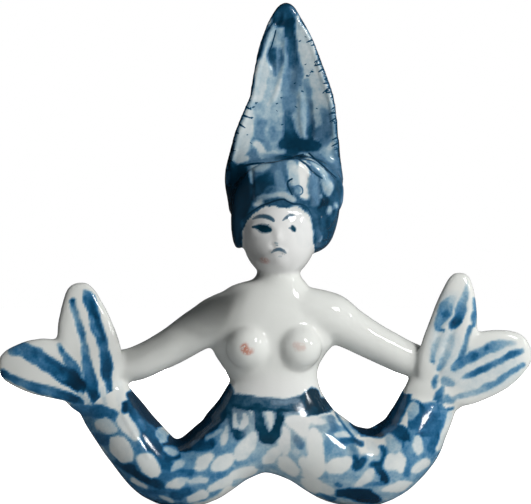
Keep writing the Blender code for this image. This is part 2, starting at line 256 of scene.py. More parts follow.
brush(WAIST_DOWN, "round", 0.85, *tapered(
    # scales: bare spots left in the cobalt of the left tail
    ((-484, 242, 21, 13), (-460, 234, 22, 14)),
    ((-422, 256, 18, 6), (-402, 232, 22, 5), (-386, 214, 16, 8)),
    ((-432, 178, 30, 7), (-414, 158, 28, 7)), ((-352, 136, 27, 5), (-336, 116, 28, 5)),
    ((-316, 218, 12, 34), (-303, 202, 13, 30)), ((-292, 168, 9, 24), (-268, 162, 12, 24)),
    ((-272, 114, 6, 26), (-250, 127, 11, 20)), ((-286, 65, 9, 12), (-260, 72, 16, 10), (-238, 82, 8, 16)),
    ((-222, 79, 8, 14), (-182, 82, 11, 13)), ((-192, 126, 18, 8), (-170, 146, 17, 8)),
    ((-222, 146, 13, 50), (-216, 128, 12, 52)), ((-142, 120, 17, 7), (-116, 138, 22, 6)),
    ((-74, 156, 20, 9), (-54, 180, 24, 11), (-36, 206, 15, 11)), ((-90, 93, 13, 6), (-44, 103, 17, 5)),
    ((-154, 55, 13, 7), (-114, 74, 16, 7)), ((-218, 22, 12, 7), (-186, 35, 16, 7)),
    ((-390, 75, 8, 10), (-354, 59, 6, 12)), ((-310, 29, 6, 20), (-280, 17, 7, 16)),
    ((-124, 194, 9, 14), (-119, 212, 9, 14), (-115, 238, 3, 16)),
    ((-170, 204, 7, 36), (-136, 224, 7, 32)), ((-574, 248, 8, 40), (-546, 224, 9, 40)),
    ((-486, 164, 11, 36), (-466, 132, 7, 36)),
    # belly
    ((76, 254, 15, 4), (104, 243, 23, 4), (116, 222, 13, 5)),
    ((60, 224, 14, 7), (56, 196, 19, 7), (59, 168, 14, 7)), ((148, 256, 12, 5), (168, 252, 9, 10)),
    ((146, 210, 23, 3), (150, 160, 24, 3), (146, 116, 32, 3)), ((10, 144, 18, 7), (34, 164, 16, 7)),
    ((60, 130, 22, 6), (84, 106, 18, 6)), ((114, 136, 15, 5), (126, 104, 17, 5)),
    ((126, 68, 17, 4), (160, 58, 21, 4), (190, 49, 15, 8)),
    # right tail
    ((216, 214, 9, 14), (242, 212, 9, 14)), ((210, 286, 6, 14), (224, 260, 4, 18)),
    ((242, 244, 7, 30), (268, 218, 6, 30)), ((310, 186, 13, 8), (322, 170, 15, 8)),
    ((196, 119, 19, 5), (220, 125, 24, 5), (242, 132, 18, 5)),
    ((312, 104, 13, 7), (298, 86, 15, 7), (274, 68, 7, 10)),
    ((368, 128, 19, 7), (388, 138, 28, 6), (398, 120, 16, 6)), ((372, 196, 18, 28), (384, 176, 17, 27)),
    ((442, 292, 17, 24), (434, 268, 11, 34)), ((454, 200, 12, 12), (454, 174, 16, 12)),
    ((450, 112, 15, 8), (474, 128, 17, 8)), ((360, 51, 8, 6), (394, 58, 16, 5), (428, 68, 9, 6)),
    ((552, 270, 9, 10), (538, 220, 12, 8), (520, 174, 9, 12)), ((234, 9, 6, 16), (270, 5, 4, 20)),
))
brush(WAIST_DOWN, "round", 0.6,
    # the waistband and the loops that hang from it
    ((-102, 314, 20, 94), (-50, 311, 20, 88), (0, 304, 21, 86), (50, 299, 21, 84), (94, 302, 22, 88),
     (130, 314, 26, 97)), ((-96, 296, 5, 95), (0, 289, 6, 95), (80, 285, 6, 95), (134, 286, 8, 98)),
    ((20, 312, 5, 70), (56, 310, 6, 66), (98, 315, 6, 70)),
    ((142, 332, 19, 100), (148, 302, 28, 100), (172, 298, 22, 100), (190, 290, 12, 97)),
    ((144, 284, 12, 97), (128, 270, 6, 90)),
    ((-106, 300, 7, 92), (-104, 266, 7, 90), (-96, 234, 10, 90), (-80, 214, 14, 95), (-64, 219, 8, 80)),
    ((-74, 280, 3.5, 62), (-76, 254, 3, 52)),
    ((-22, 296, 14, 95), (-18, 264, 13, 90), (-14, 236, 15, 95), (4, 206, 21, 97), (24, 210, 17, 96),
     (38, 240, 13, 97), (48, 280, 15, 98)), ((50, 276, 9, 90), (66, 276, 4, 60), (122, 274, 4, 50)),
    ((-90, 272, 6, 16), (-89, 242, 9, 15)), ((-62, 274, 6, 14), (-58, 256, 12, 13), (-70, 238, 9, 13)),
    ((14, 272, 12, 10), (16, 252, 9, 9), (18, 234, 3, 12)),
    ((210, 276, 3.5, 80), (238, 236, 3.5, 84), (264, 204, 4.5, 86)),
    ((198, 270, 3, 62), (220, 236, 2.5, 62)),
)

# Fins
# Two petals of clay on the end of each tail, pressed flat and joined by a thumbed knuckle. Long
# brush strokes run out from the root along shallow grooves.
FIN_LENGTH = 33.0 * MM
FIN_WIDTH = 18.4 * MM
FIN_THICKNESS = 7.0 * MM
FIN_FORWARD = 2.0 * MM
FIN_SUNK = 0.14
PETALS = {
    LEFT: ((100.4, 0.99, 1.06, 0.6 * MM), (167.6, 0.932, 0.98, -3.2 * MM)),
    RIGHT: ((76.6, 1.10, 0.92, -1.6 * MM), (23.6, 0.97, 1.10, 0.9 * MM)),
}
UPRIGHT_OUTLINE = (0.80, 0.90, 0.98, 0.95, 0.83, 0.74, 0.71)
SIDE_OUTLINE = (0.64, 0.80, 0.93, 0.98, 0.95, 0.90, 0.88)


def fin_root(side):
    return tail_bend(side, *TAIL_BENDS[side][-2]) - BACK * FIN_FORWARD


for side in (LEFT, RIGHT):
    root = fin_root(side)
    knuckle = root + Vector((side * 0.05 * FIN_WIDTH, 0.0, -0.07 * FIN_WIDTH))
    ball("fins", knuckle, (FIN_WIDTH * 0.52, FIN_THICKNESS * 0.54, FIN_WIDTH * 0.36))
    for petal, outline in zip(PETALS[side], (UPRIGHT_OUTLINE, SIDE_OUTLINE)):
        angle, length, width, bow = petal
        turn = math.radians(angle)
        reach = Vector((math.cos(turn), 0.0, math.sin(turn))) * FIN_LENGTH * length
        aside = Vector((-math.sin(turn), 0.0, math.cos(turn))) * bow
        shares = [k / (len(outline) - 1) for k in range(len(outline))]
        start = root - reach * FIN_SUNK
        roll(
            "fins",
            [start + reach * (1 + FIN_SUNK) * s + aside * math.sin(math.pi * s) for s in shares],
            [FIN_WIDTH / 2 * width * k for k in outline],
            [FIN_THICKNESS / 2] * len(outline),
            cups=(0.4 * MM, 1.2 * MM, 1.0 * MM, 0.0),
            tip=0.38,
            fullness=2.6,
        )

tool("fins", "round", -0.28,
    ((-526, 610, 16), (-500, 530, 18), (-480, 460, 19), (-470, 380, 16), (-460, 330, 10)),
    ((-574, 600, 12), (-550, 520, 14), (-530, 440, 15), (-514, 360, 15)),
    ((-730, 460, 18), (-660, 440, 22), (-600, 404, 22), (-540, 350, 18)),
    ((-750, 374, 12), (-660, 348, 14), (-570, 316, 12)), ((536, 590, 16), (526, 540, 14), (504, 470, 12)),
    ((596, 620, 12), (570, 546, 16), (540, 470, 14), (516, 390, 12)),
    ((618, 570, 10), (600, 490, 10), (564, 410, 10)), ((720, 480, 12), (660, 466, 15), (586, 426, 13)),
    ((750, 458, 11), (660, 409, 13), (596, 378, 10)), ((740, 404, 11), (660, 354, 13), (580, 320, 10)),
)
brush("fins", "front", 3.0,
    # a thin wash over the right fin
    ((550, 600, 40, 9), (540, 460, 50, 12), (620, 400, 70, 10), (700, 420, 70, 10)),
)
brush("fins", "round", 0.85,
    # left fin, upright petal
    ((-534, 630, 10, 60), (-526, 616, 19, 78), (-515, 588, 16, 84), (-507, 560, 16, 84),
     (-498, 526, 17, 76), (-488, 498, 16, 80), (-480, 470, 15, 72), (-474, 438, 17, 86),
     (-472, 408, 17, 92), (-471, 388, 14, 92), (-466, 368, 11, 82), (-462, 342, 9, 82),
     (-457, 312, 8, 58)),
    ((-519, 606, 6, 92), (-506, 568, 8, 92), (-492, 530, 7, 90), (-482, 500, 7, 88)),
    ((-514, 562, 5, 60), (-508, 530, 5, 58), (-496, 504, 4, 66)),
    ((-575, 613, 8, 86), (-570, 592, 8, 56), (-563, 567, 8, 46), (-555, 541, 10, 60), (-549, 520, 11, 68),
     (-543, 504, 9, 76), (-541, 484, 9, 54), (-537, 463, 11, 52), (-533, 442, 11, 68),
     (-529, 417, 14, 62), (-524, 392, 16, 76), (-518, 360, 20, 82), (-508, 329, 17, 94),
     (-502, 308, 11, 84)),
    ((-616, 476, 7, 46), (-607, 460, 9, 66), (-596, 446, 11, 58), (-584, 429, 15, 66),
     (-570, 411, 16, 64), (-556, 394, 13, 70)), ((-611, 467, 5, 80), (-606, 460, 5, 80)),
    # left fin, side petal
    ((-750, 461, 16, 58), (-720, 464, 21, 64), (-690, 450, 24, 70), (-660, 430, 25, 72),
     (-630, 410, 24, 78), (-600, 390, 25, 84), (-572, 376, 26, 97), (-553, 357, 21, 99),
     (-546, 340, 12, 90)), ((-689, 456, 9, 84), (-682, 446, 8, 82)),
    ((-672, 442, 7, 62), (-664, 426, 7, 62)),
    ((-650, 436, 8, 86), (-624, 422, 9, 88), (-600, 404, 10, 90)),
    ((-614, 385, 4, 62), (-594, 378, 3, 66)),
    ((-784, 395, 9, 90), (-764, 383, 11, 82), (-742, 372, 12, 68), (-718, 363, 13, 58),
     (-687, 352, 14, 78), (-650, 342, 16, 64), (-619, 332, 16, 76), (-588, 324, 15, 88),
     (-562, 314, 13, 93), (-548, 307, 8, 84)),
    ((-552, 333, 6, 24), (-534, 316, 7, 20), (-519, 302, 6, 28)),
    # right fin, upright petal
    ((554, 610, 16, 26), (540, 590, 22, 50), (528, 564, 19, 56), (519, 542, 12, 56), (518, 526, 8, 56)),
    ((542, 574, 9, 72), (532, 569, 8, 76)), ((526, 524, 5, 74), (530, 521, 4, 74)),
    ((539, 540, 6, 16), (532, 534, 5, 14)),
    ((603, 664, 4, 22), (599, 636, 8, 34), (591, 606, 11, 48), (584, 578, 15, 58), (572, 550, 16, 90),
     (560, 534, 12, 88)),
    ((563, 520, 7, 22), (553, 486, 10, 24), (540, 450, 12, 30), (527, 420, 11, 42), (520, 408, 7, 54)),
    ((625, 616, 7, 50), (627, 590, 8, 62), (622, 554, 8, 62), (619, 540, 6, 64)),
    ((611, 532, 7, 62), (606, 510, 7, 58), (598, 480, 7, 48), (585, 446, 8, 60), (570, 422, 9, 66),
     (559, 406, 7, 64)), ((513, 492, 8, 24), (503, 464, 9, 30), (497, 434, 7, 38)),
    ((497, 431, 3.5, 68), (502, 428, 3, 62)),
    # right fin, side petal
    ((744, 482, 7, 20), (710, 482, 12, 38), (678, 472, 15, 50), (640, 456, 14, 52), (616, 442, 16, 66),
     (588, 426, 13, 56), (569, 414, 9, 52)), ((664, 470, 6, 78), (658, 467, 5, 76)),
    ((626, 448, 9, 84), (618, 441, 7, 80)),
    ((769, 464, 6, 42), (750, 455, 9, 66), (732, 446, 11, 80), (710, 435, 9, 66), (690, 425, 8, 58),
     (666, 413, 8, 74), (636, 399, 10, 84), (610, 389, 9, 66), (592, 383, 5, 40)),
    ((767, 418, 8, 56), (730, 395, 9, 54), (700, 374, 9, 58), (666, 355, 10, 50), (636, 339, 9, 34),
     (602, 331, 10, 30), (572, 322, 8, 30)), ((512, 386, 5, 50), (506, 368, 8, 60), (502, 352, 5, 50)),
    ((536, 372, 13, 40), (554, 362, 10, 38)),
    ((529, 354, 6, 50), (519, 334, 12, 68), (509, 309, 10, 80), (528, 312, 9, 60)),
    ((540, 320, 12, 48), (560, 314, 10, 38)),
)
brush(("fins", "tails"), "round", 0.8,
    ((-574, 296, 10, 56), (-550, 286, 16, 66), (-514, 284, 17, 72), (-480, 280, 15, 78),
     (-454, 272, 12, 76)), ((-484, 350, 7, 10), (-480, 320, 8, 12), (-476, 304, 6, 16)),
    ((-434, 360, 12, 4), (-436, 320, 10, 5), (-434, 298, 5, 10)), ((516, 292, 4, 80), (518, 282, 4, 80)),
    ((546, 288, 5, 76), (558, 289, 5, 74)),
)

# Trunk
# Waist, chest, shoulders and neck are one upright roll, with two balls of clay for the bust. Left
# white, with a dab of iron red on each breast.
WAIST_HEIGHT = 38.5 * MM
WAIST_WIDTH = 26.4 * MM
TRUNK_LENGTH = 31.5 * MM
CHEST_WIDTH = 39.0 * MM
TRUNK_DEPTH = 19.0 * MM
NECK_WIDTH = 12.6 * MM
BUST_DIAMETER = 13.8 * MM
BUST_SPACING = 15.0 * MM
LEAN_NECK = 5.4 * MM
WAIST = Vector((LEAN_WAIST, 0.0, WAIST_HEIGHT))
NECK = Vector((LEAN_NECK, 0.0, WAIST_HEIGHT + TRUNK_LENGTH))


def on_trunk(share, aside, forward):
    """A point that is a share of the way from the waist to the neck."""
    return WAIST.lerp(NECK, share) + Vector((aside, -forward, 0.0))


chest, waist, neck, depth = (k / 2 for k in (CHEST_WIDTH, WAIST_WIDTH, NECK_WIDTH, TRUNK_DEPTH))
trunk_rings = (
    # share of the trunk's length, half width, half depth, how far to one side
    (-0.50, 1.62 * waist, 1.20 * depth, 0.2 * MM),
    (-0.36, 1.53 * waist, 1.20 * depth, 0.2 * MM),
    (-0.18, 1.21 * waist, 1.06 * depth, 0.1 * MM),
    (0.00, 1.00 * waist, 0.96 * depth, 0.0),
    (0.14, 0.76 * chest, 0.98 * depth, -0.6 * MM),
    (0.30, 0.92 * chest, 1.02 * depth, -1.1 * MM),
    (0.48, 1.00 * chest, 1.00 * depth, -1.1 * MM),
    (0.64, 0.97 * chest, 0.92 * depth, -0.8 * MM),
    (0.78, 0.80 * chest, 0.80 * depth, -0.4 * MM),
    (0.90, 0.49 * chest, 0.70 * depth, 0.0),
    (0.98, 1.07 * neck, 1.04 * neck, 0.0),
    (1.06, neck, neck, 0.0),
    (1.18, neck, neck, 0.0),
)
roll(
    "trunk",
    [on_trunk(share, aside, 0.0) for share, _, _, aside in trunk_rings],
    [ring[1] for ring in trunk_rings],
    [ring[2] for ring in trunk_rings],
    tip=0.05,
)
for side in (LEFT, RIGHT):
    bust = on_trunk(0.31, side * BUST_SPACING / 2 - 0.5 * MM, TRUNK_DEPTH * 0.32)
    ball("trunk", bust, [BUST_DIAMETER / 2] * 3)

RED_DABS = (
    ((-59, 472, 13, 100), (-52, 464, 13, 90), (-42, 466, 8, 60)), ((92, 476, 12, 34), (108, 474, 13, 34)),
)

# Arms
# One roll too, from hand to hand through the shoulders, sagging a little. Each hand is pressed
# against the back of its fin. Plain white.
ARM_THICKNESS = 11.0 * MM
ARM_SAG = {LEFT: 3.0 * MM, RIGHT: 1.0 * MM}


def hand(side):
    """Where the hand meets the back of the fin."""
    aside_and_up = Vector((side * 0.02 * FIN_LENGTH, 0.0, 0.20 * FIN_LENGTH))
    return fin_root(side) + aside_and_up + BACK * FIN_THICKNESS * 0.6


half_arm = ARM_THICKNESS / 2
arm_path = [on_trunk(0.64, 0.0, 0.0)]
arm_widths = [1.5 * half_arm]
for side in (LEFT, RIGHT):
    shoulder = on_trunk(0.60, side * CHEST_WIDTH * 0.37, 0.0)
    reach = hand(side) - shoulder
    arm = [shoulder]
    for share, drop in ((0.22, 0.15), (0.45, 0.85), (0.68, 1.2), (0.86, 0.70), (1.0, 0.0)):
        arm.append(shoulder + reach * share - Vector((0.0, 0.0, drop * ARM_SAG[side])))
    widths = [half_arm * k for k in (1.38, 1.16, 1.02, 0.95, 0.90, 0.86)]
    arm_path = arm_path + arm if side == RIGHT else arm[::-1] + arm_path
    arm_widths = arm_widths + widths if side == RIGHT else widths[::-1] + arm_widths
roll("arms", arm_path, arm_widths, [w * 0.95 for w in arm_widths], tip=0.04, rings=2 * RINGS)

# Head
# A ball of clay with a faint pinched ridge for the nose. The face is a doll's, painted in a few
# dark strokes.
HEAD_WIDTH = 22.2 * MM
HEAD_HEIGHT = 26.0 * MM
HEAD_DEPTH = 23.0 * MM
HOOD_WIDTH = 35.0 * MM
LEAN_HOOD = 8.2 * MM
HEAD = NECK + Vector((0.2 * MM, -1.0 * MM, HEAD_HEIGHT * 0.45))
ball("head", HEAD, (HEAD_WIDTH / 2, HEAD_DEPTH / 2, HEAD_HEIGHT / 2))
crown = HEAD + Vector((LEAN_HOOD - HEAD.x, HEAD_DEPTH * 0.08, HEAD_HEIGHT * 0.42))
ball("hair", crown, (HOOD_WIDTH * 0.42, HEAD_DEPTH / 2, HEAD_HEIGHT * 0.34))
bridge = HEAD + Vector((-0.4 * MM, -HEAD_DEPTH * 0.475, HEAD_HEIGHT * 0.08))
nose_tip = HEAD + Vector((-0.5 * MM, -HEAD_DEPTH * 0.483, -HEAD_HEIGHT * 0.08))
nose_widths = (0.9 * MM, 1.2 * MM, 1.7 * MM)
roll("head", [bridge, bridge.lerp(nose_tip, 0.5), nose_tip], nose_widths, [1.0 * MM] * 3, tip=0.3)

tool("head", "front", -0.4,
    ((-16, 824, 26), (8, 822, 24)), ((22, 774, 12), (24, 768, 10)),
)
tool("head", "front", 0.35,
    ((108, 864, 34), (120, 844, 32)), ((24, 758, 12), (42, 762, 13), (60, 756, 10)),
    ((42, 726, 32), (48, 724, 32)),
)
draw(("head", "hair"),
    # brows
    ((-36, 853, 2.5, 60), (-20, 860, 5, 82), (-4, 861, 6.2, 86), (12, 857, 6.6, 88), (23, 850, 5, 86),
     (26, 846, 3, 80)), ((52, 848, 2, 60), (62, 856, 4.2, 82), (74, 862, 5.8, 86), (84, 862, 4, 78)),
    # eyes
    ((-36, 829, 3.5, 86), (-20, 829, 7.5, 96), (-8, 825, 12.5, 99), (4, 823, 12, 99), (16, 820, 5, 95)),
    ((81, 830, 5, 95), (84, 824, 7.5, 97), (87, 819, 5, 95)), ((70, 825, 2, 50), (78, 828, 3, 70)),
    # nose and mouth
    ((30, 782, 3, 34), (36, 780, 3, 34)),
    ((19, 753, 2, 50), (29, 760, 4.2, 80), (42, 763, 5, 84), (54, 759, 4.2, 80), (62, 752, 2.2, 50)),
    ((41, 742, 2.5, 20), (48, 742, 2.5, 20)),
)
RED_DABS += (((-7, 731, 9, 60), (2, 729, 9, 55)),)

# Hood
# A slab of clay wrapped round the back of the head and drawn up to a point, cupped in front, with a
# thumb press near the tip. Cobalt is brushed down its middle and along its two edges.
HOOD_DEPTH = 24.0 * MM
HOOD_HEIGHT = 78.0 * MM
HOOD_WALL = 5.6 * MM
hood_base = HEAD.z - HEAD_HEIGHT * 0.30
wide, deep, wall = HOOD_WIDTH / 2, HOOD_DEPTH / 2, HOOD_WALL / 2
hood_rings = (
    # share of height, half width, half depth, cup, distance back, share of the lean
    (0.025, 0.52 * wide, 0.56 * deep, 0.0, 3.0, 0.60),
    (0.090, 0.80 * wide, 0.88 * deep, 0.0, 3.0, 0.73),
    (0.165, 0.925 * wide, 0.98 * deep, 0.0, 2.9, 0.86),
    (0.240, 0.975 * wide, 1.00 * deep, 0.0, 2.9, 0.86),
    (0.320, 1.02 * wide, 0.86 * deep, 0.4, 3.4, 0.85),
    (0.400, 0.965 * wide, 2.10 * wall, 2.2, 5.0, 0.90),
    (0.480, 0.90 * wide, 1.25 * wall, 4.2, 5.3, 0.99),
    (0.560, 0.82 * wide, wall, 4.8, 5.0, 1.08),
    (0.620, 0.75 * wide, wall, 4.4, 4.9, 1.11),
    (0.700, 0.655 * wide, wall, 3.6, 4.6, 1.05),
    (0.780, 0.56 * wide, 0.97 * wall, 2.7, 4.3, 0.99),
    (0.850, 0.455 * wide, 0.93 * wall, 1.9, 4.1, 0.955),
    (0.915, 0.325 * wide, 0.88 * wall, 1.2, 3.8, 0.925),
    (0.965, 0.20 * wide, 0.80 * wall, 0.7, 3.6, 0.935),
    (1.000, 0.11 * wide, 0.70 * wall, 0.3, 3.4, 0.94),
)
roll(
    "hair",
    [Vector((LEAN_HOOD * r[5], r[4] * MM, hood_base + r[0] * HOOD_HEIGHT)) for r in hood_rings],
    [r[1] for r in hood_rings],
    [r[2] for r in hood_rings],
    cups=[r[3] * MM for r in hood_rings],
    tip=0.07,
    fullness=2.3,
)

HOOD_RIMS = (
    # the left and the right edge of the hood, top to bottom
    ((26, 1456), (4, 1410), (-18, 1350), (-34, 1290), (-42, 1236), (-56, 1190), (-80, 1130), (-98, 1070),
     (-112, 1010)),
    ((104, 1458), (141, 1400), (163, 1340), (183, 1280), (203, 1224), (214, 1160), (219, 1100),
     (224, 1040)),
)
tool("hair", "front", -0.5,
    ((44, 1464, 15), (36, 1444, 16)), ((28, 1410, 11), (10, 1360, 12), (24, 1310, 13)),
    ((80, 1400, 18), (80, 1310, 20), (74, 1240, 24)), ((132, 1200, 13), (138, 1100, 16)),
)
tool("hair", "front", 0.45,
    ((57, 1466, 7), (53, 1448, 7), (40, 1434, 6)),
    ((60, 1390, 9), (57, 1320, 9), (44, 1260, 11), (24, 1210, 12)),
    ((108, 1230, 12), (109, 1160, 14), (116, 1106, 12)),
    *([(x - side * 11, z, 10) for x, z in rim] for side, rim in zip((LEFT, RIGHT), HOOD_RIMS)),
)
brush("hair", "round", 2.0,
    ((60, 1400, 60, 40), (70, 1260, 100, 36), (70, 1120, 150, 40), (60, 980, 180, 80),
     (40, 840, 180, 92)),
)
brush("hair", "back", 1.6,
    ((65, 1490, 50, 97), (65, 1430, 40, 94), (60, 1340, 34, 84), (30, 1220, 40, 70), (0, 1080, 50, 80)),
    ((90, 1340, 20, 62), (130, 1220, 26, 60), (160, 1100, 40, 78), (160, 980, 40, 86)),
    ((10, 1330, 20, 12), (-10, 1220, 20, 16)), ((96, 1240, 18, 14), (80, 1120, 20, 18)),
    ((130, 1370, 13, 14), (176, 1220, 16, 14)),
)
brush("hair", "front", 0.9,
    # greyish flanks
    ((102, 1450, 13, 20), (114, 1396, 22, 19), (128, 1336, 30, 18), (148, 1280, 32, 20),
     (156, 1236, 30, 22), (166, 1196, 26, 28)),
    ((-2, 1320, 14, 20), (-12, 1270, 24, 19), (-22, 1224, 20, 18)),
    ((19, 1294, 9, 34), (14, 1246, 11, 36), (4, 1204, 14, 30), (-8, 1170, 16, 32)),
    ((-44, 1174, 14, 16), (-54, 1120, 20, 17), (-70, 1066, 22, 19), (-86, 1030, 12, 20)),
    ((-24, 1076, 14, 13), (-4, 1050, 12, 14)),
    ((36, 1174, 20, 36), (26, 1130, 26, 44), (34, 1076, 14, 38)),
    # cobalt down the middle
    ((70, 1440, 18, 98), (76, 1400, 17, 93), (80, 1366, 20, 88), (83, 1330, 21, 84), (90, 1298, 24, 76),
     (86, 1264, 28, 68), (76, 1226, 26, 60), (72, 1190, 22, 62)),
    ((74, 1286, 20, 62), (62, 1254, 14, 60)),
    ((28, 1364, 9, 88), (19, 1342, 17, 93), (34, 1314, 11, 82), (31, 1286, 5, 70)),
    ((47, 1362, 6, 82), (48, 1340, 8, 86), (44, 1318, 7, 76)),
    ((125, 1268, 8, 56), (133, 1210, 9, 60), (134, 1166, 10, 72), (135, 1128, 13, 84),
     (130, 1098, 18, 94)),
    ((70, 1170, 13, 78), (68, 1150, 16, 86), (72, 1124, 18, 91), (78, 1098, 23, 97)),
    ((54, 1078, 16, 95), (90, 1074, 22, 98), (130, 1076, 22, 97), (158, 1074, 16, 92)),
    ((90, 1054, 12, 95), (54, 1044, 12, 88), (30, 1032, 7, 82)),
    ((173, 1179, 10, 56), (186, 1150, 15, 72), (182, 1114, 20, 78), (162, 1114, 16, 80),
     (186, 1086, 12, 70)), ((-10, 1142, 11, 66), (-18, 1116, 15, 62), (-12, 1104, 10, 52)),
    ((22, 1118, 12, 62), (30, 1096, 10, 54)),
    # light left between the strokes
    ((29, 1428, 5, 40), (12, 1388, 7, 28), (-5, 1346, 6, 18), (-8, 1326, 5, 16)),
    ((45, 1418, 8, 38), (38, 1382, 7, 32)), ((59, 1394, 4.5, 50), (61, 1348, 5, 46), (58, 1296, 4.5, 48)),
    ((37, 1340, 2, 60), (38, 1300, 2, 50)),
    ((45, 1270, 6, 22), (38, 1236, 8, 18), (22, 1212, 7, 22), (10, 1180, 6, 26)),
    ((105, 1240, 7, 44), (108, 1184, 12, 34), (113, 1130, 11, 32), (120, 1102, 6, 40)),
    ((-10, 1044, 9, 22), (20, 1050, 10, 34), (54, 1056, 8, 40)),
    ((-88, 1026, 9, 20), (-56, 1034, 11, 16)), ((202, 1076, 9, 28), (194, 1060, 9, 34)),
    ((172, 1056, 10, 44), (200, 1034, 12, 38)),
    # the tip
    ((65, 1496, 40, 95), (56, 1470, 34, 92), (44, 1452, 24, 98), (72, 1452, 20, 98)),
    ((84, 1488, 9, 80), (92, 1470, 6, 80)), ((10, 1432, 6, 76), (-12, 1364, 8, 78), (-27, 1326, 6, 70)),
)
RIM_HALF_WIDTH = 3
for rim in HOOD_RIMS:
    brush("hair", "round", 0.45, [(x, z, RIM_HALF_WIDTH, 100) for x, z in rim])
draw("hair",
    ((57, 1472, 2, 50), (56, 1452, 2, 48), (48, 1437, 2, 52), (37, 1433, 1.5, 60)),
    ((33, 1422, 2, 93), (22, 1380, 2.5, 93), (11, 1350, 3, 93)),
    # the crease above the band, and the fold that runs down from it to the right
    ((-72, 1009, 4.5, 100), (-55, 1014, 4.5, 100), (-29, 1019, 4, 98), (11, 1020, 3.5, 98),
     (37, 1024, 3.5, 98), (57, 1031, 3.5, 98), (80, 1037, 4, 100), (97, 1043, 4, 100),
     (114, 1047, 3.5, 100)),
    ((132, 1051, 3, 97), (154, 1029, 3.5, 98), (174, 1011, 3.5, 98), (195, 991, 3.5, 98),
     (212, 977, 3, 95)),
    ((94, 1034, 2.5, 93), (108, 1024, 3, 95), (126, 1011, 3.5, 95), (137, 997, 3.5, 95),
     (154, 983, 3.5, 95), (169, 974, 3, 90)),
)
HOOD_PITS = (
    (-27, 1203), (-35, 1189), (48, 1241), (48, 1218), (34, 1200), (34, 1180), (-41, 1157), (-55, 1106),
    (-44, 1083), (51, 1137), (80, 1163), (91, 1192), (88, 1261), (103, 1255), (111, 1238), (103, 1387),
    (120, 1401), (140, 1297), (120, 1317), (154, 1186), (126, 1284),
)
# how many nicks each edge has, and how far down it they start
NICKS = {LEFT: (9, 0.52), RIGHT: (24, 0.16)}
NICK_LENGTH = 19
NICK_HALF_WIDTH = 2.8

# Hood edge and curls
# The front edge of the hood is one thick roll of clay: up one side of the face, across the forehead
# and down the other side, where it is pinched into folds and small curls.
BAND_HEIGHT = 12.6 * MM
BAND_THICKNESS = 5.4 * MM
thick = BAND_THICKNESS / 2
band_edge = (
    # aside as a share of the hood's width, height as a share of the head's, half width, forward
    (-0.350, -0.17, 0.12 * BAND_HEIGHT, 2.0),
    (-0.352, 0.05, 0.17 * BAND_HEIGHT, 2.4),
    (-0.335, 0.28, 0.22 * BAND_HEIGHT, 3.2),
    (-0.268, 0.46, 0.36 * BAND_HEIGHT, 5.4),
    (-0.146, 0.58, 0.47 * BAND_HEIGHT, 8.6),
    (0.029, 0.635, 0.45 * BAND_HEIGHT, 9.8),
    (0.183, 0.635, 0.50 * BAND_HEIGHT, 9.0),
    (0.305, 0.57, 0.48 * BAND_HEIGHT, 6.6),
    (0.405, 0.45, 0.32 * BAND_HEIGHT, 3.8),
    (0.430, 0.27, 0.21 * BAND_HEIGHT, 2.8),
    (0.380, 0.13, 0.18 * BAND_HEIGHT, 2.6),
    (0.305, 0.00, 0.12 * BAND_HEIGHT, 2.4),
)
roll(
    "hair",
    [HEAD + Vector((r[0] * HOOD_WIDTH, -r[3] * MM - HEAD.y, r[1] * HEAD_HEIGHT)) for r in band_edge],
    [r[2] for r in band_edge],
    [0.7 * thick, 0.8 * thick] + [thick] * 7 + [1.1 * thick, thick, 0.7 * thick],
    tip=0.08,
    fullness=2.3,
    rings=2 * RINGS,
)
fold = (
    (0.16, 0.86, 2.0 * MM, 0.0),
    (0.29, 0.78, 2.8 * MM, 3.6),
    (0.45, 0.60, 2.9 * MM, 2.4),
    (0.475, 0.42, 2.7 * MM, 1.2),
    (0.46, 0.26, 2.2 * MM, 0.4),
)
roll(
    "hair",
    [HEAD + Vector((r[0] * HOOD_WIDTH, -r[3] * MM - HEAD.y, r[1] * HEAD_HEIGHT)) for r in fold],
    [r[2] for r in fold],
    [2.2 * MM] * 5,
    tip=0.2,
)

